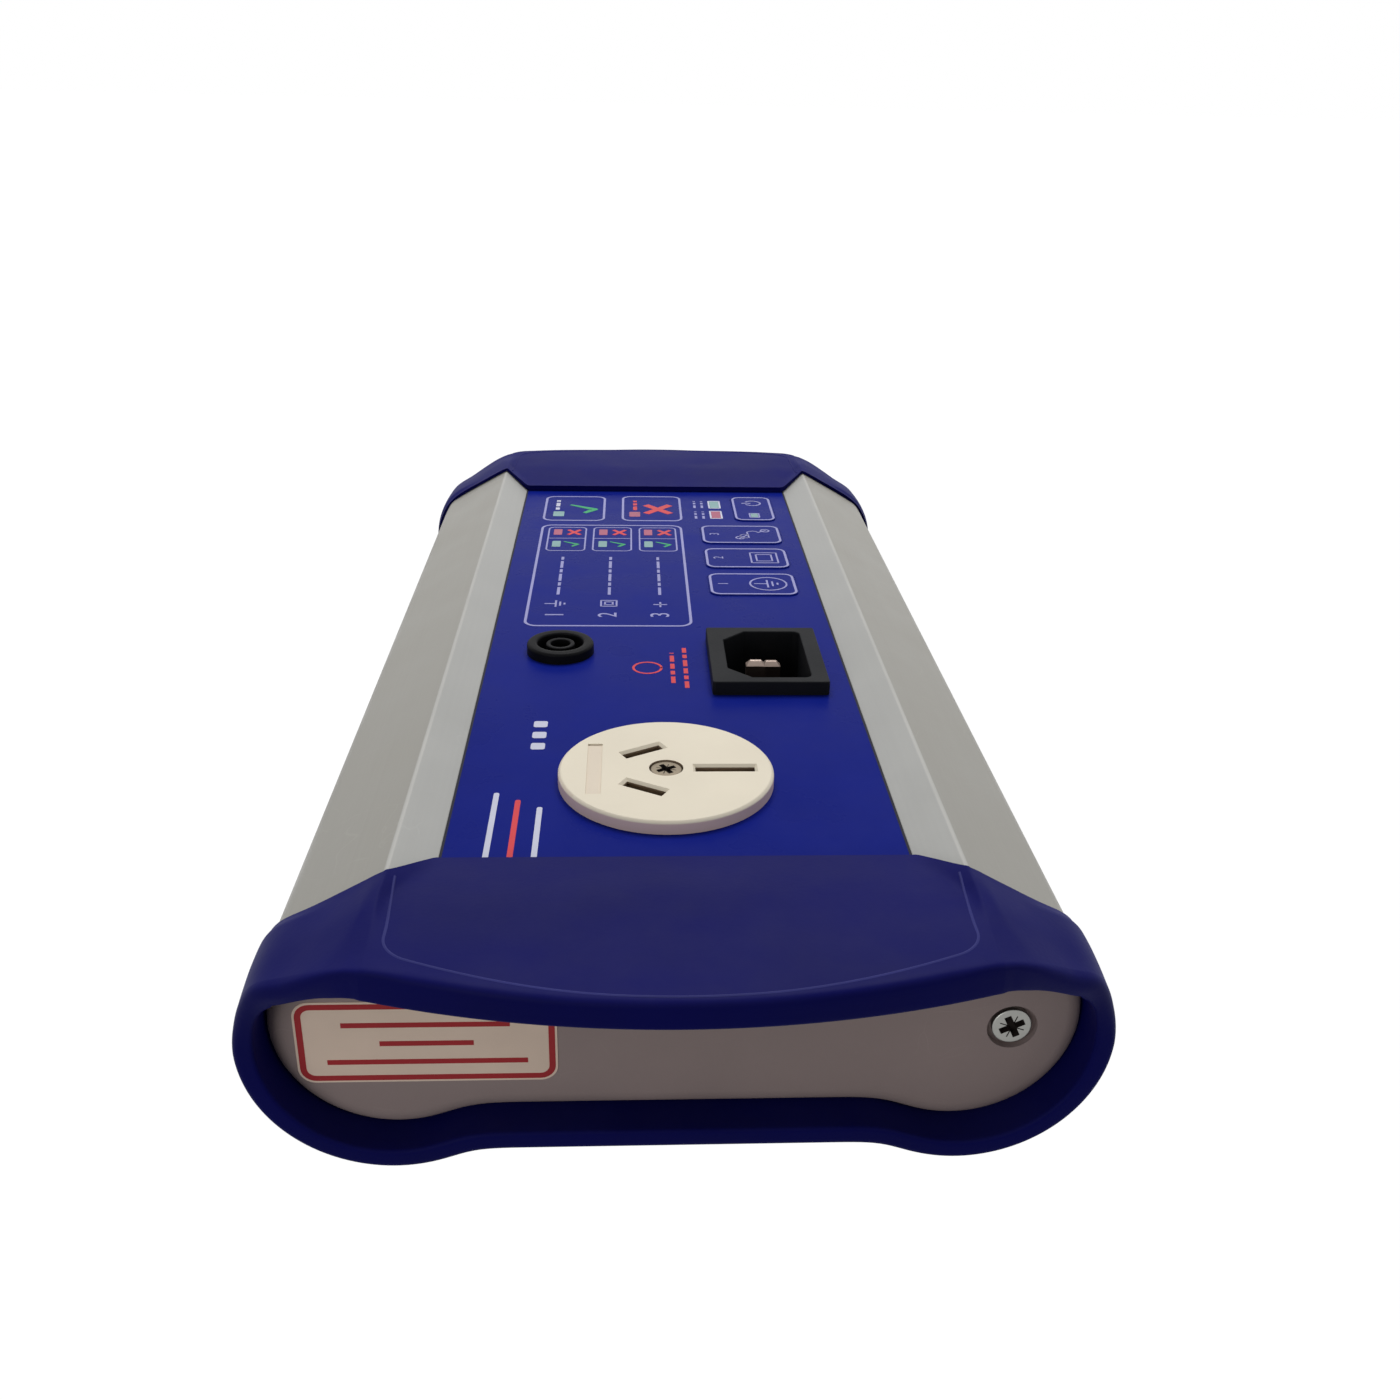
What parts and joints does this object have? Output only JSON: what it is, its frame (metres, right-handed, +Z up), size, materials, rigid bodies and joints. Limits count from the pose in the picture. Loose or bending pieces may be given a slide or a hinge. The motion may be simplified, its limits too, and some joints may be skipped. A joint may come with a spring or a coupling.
{
  "type": "portable appliance tester",
  "caption": "Handheld battery tester for appliance leads: ridged metal case between two moulded bumpers, with a film keypad, a flat-pin test outlet, a lead inlet and an earth jack.",
  "frame": {"origin": "on the table under the middle of the case", "axes": "+Z up, +Y along the case towards the keypad end, -Y towards the outlet end that the picture shows nearest, +X to the picture's right"},
  "size_m": [0.1304, 0.2828, 0.0442],
  "materials": {
    "case_metal": "satin",
    "bumper_elastomer": "satin",
    "plate_paint": "matte",
    "screw_steel": "satin",
    "label_paper": "matte",
    "panel_film": "satin",
    "circuit_film": "satin",
    "tail_film": "satin",
    "connector_plastic": "satin",
    "lamp_green": "gloss",
    "lamp_red": "gloss",
    "outlet_plastic": "satin",
    "contact_brass": "satin",
    "inlet_plastic": "satin",
    "pin_copper": "satin",
    "jack_plastic": "gloss",
    "board_laminate": "satin",
    "relay_case": "satin",
    "ferrite": "matte",
    "bobbin_plastic": "matte",
    "winding_copper": "satin",
    "chip_plastic": "matte",
    "capacitor_sleeve": "satin",
    "terminal_plastic": "satin",
    "fuse_glass": "clear",
    "clip_metal": "satin",
    "tray_plastic": "matte",
    "foam": "matte",
    "cell_can": "satin",
    "lead_brown": "satin",
    "lead_blue": "satin",
    "lead_green": "satin",
    "lead_red": "satin"
  },
  "bodies": {
    "tester": {"case_tube": "case_metal", "front_bumper": "bumper_elastomer", "rear_bumper": "bumper_elastomer", "front_end_plate": "plate_paint", "rear_end_plate": "plate_paint", "front_end_screws": "screw_steel", "rear_end_screws": "screw_steel", "seal_label": "label_paper", "panel_overlay": "panel_film", "membrane_circuit": "circuit_film", "key_domes": "clip_metal", "keypad_tail": "tail_film", "keypad_connector": "connector_plastic", "lamps_green": "lamp_green", "lamps_red": "lamp_red", "outlet_plate": "outlet_plastic", "outlet_body": "outlet_plastic", "outlet_screw": "screw_steel", "outlet_line_contacts": "contact_brass", "outlet_earth_contact": "contact_brass", "inlet_housing": "inlet_plastic", "inlet_pins": "pin_copper", "jack_body": "jack_plastic", "jack_socket": "contact_brass", "jack_nut": "clip_metal", "main_board": "board_laminate", "relays": "relay_case", "transformer_core": "ferrite", "transformer_bobbin": "bobbin_plastic", "transformer_winding": "winding_copper", "microcontroller": "chip_plastic", "capacitors": "capacitor_sleeve", "terminal_block": "terminal_plastic", "terminal_screws": "clip_metal", "fuse": "fuse_glass", "fuse_clips": "clip_metal", "battery_holder": "tray_plastic", "battery_foam": "foam", "battery_cells": "cell_can", "battery_springs": "clip_metal", "battery_plates": "clip_metal", "inlet_leads": "lead_brown", "outlet_leads": "lead_blue", "earth_leads": "lead_green", "battery_leads": "lead_red"},
    "key_power_cap": {"key_power": "panel_film"},
    "key_lead_cap": {"key_lead": "panel_film"},
    "key_class_two_cap": {"key_class_two": "panel_film"},
    "key_class_one_cap": {"key_class_one": "panel_film"}
  },
  "joints": [
    {"name": "key_power_press", "type": "slide", "parent": "tester", "child": "key_power_cap", "axis": [0, 0, -1], "range_m": [0, 0.0003], "stiffness_N_per_m": 900},
    {"name": "key_lead_press", "type": "slide", "parent": "tester", "child": "key_lead_cap", "axis": [0, 0, -1], "range_m": [0, 0.0003], "stiffness_N_per_m": 900},
    {"name": "key_class_two_press", "type": "slide", "parent": "tester", "child": "key_class_two_cap", "axis": [0, 0, -1], "range_m": [0, 0.0003], "stiffness_N_per_m": 900},
    {"name": "key_class_one_press", "type": "slide", "parent": "tester", "child": "key_class_one_cap", "axis": [0, 0, -1], "range_m": [0, 0.0003], "stiffness_N_per_m": 900}
  ]
}
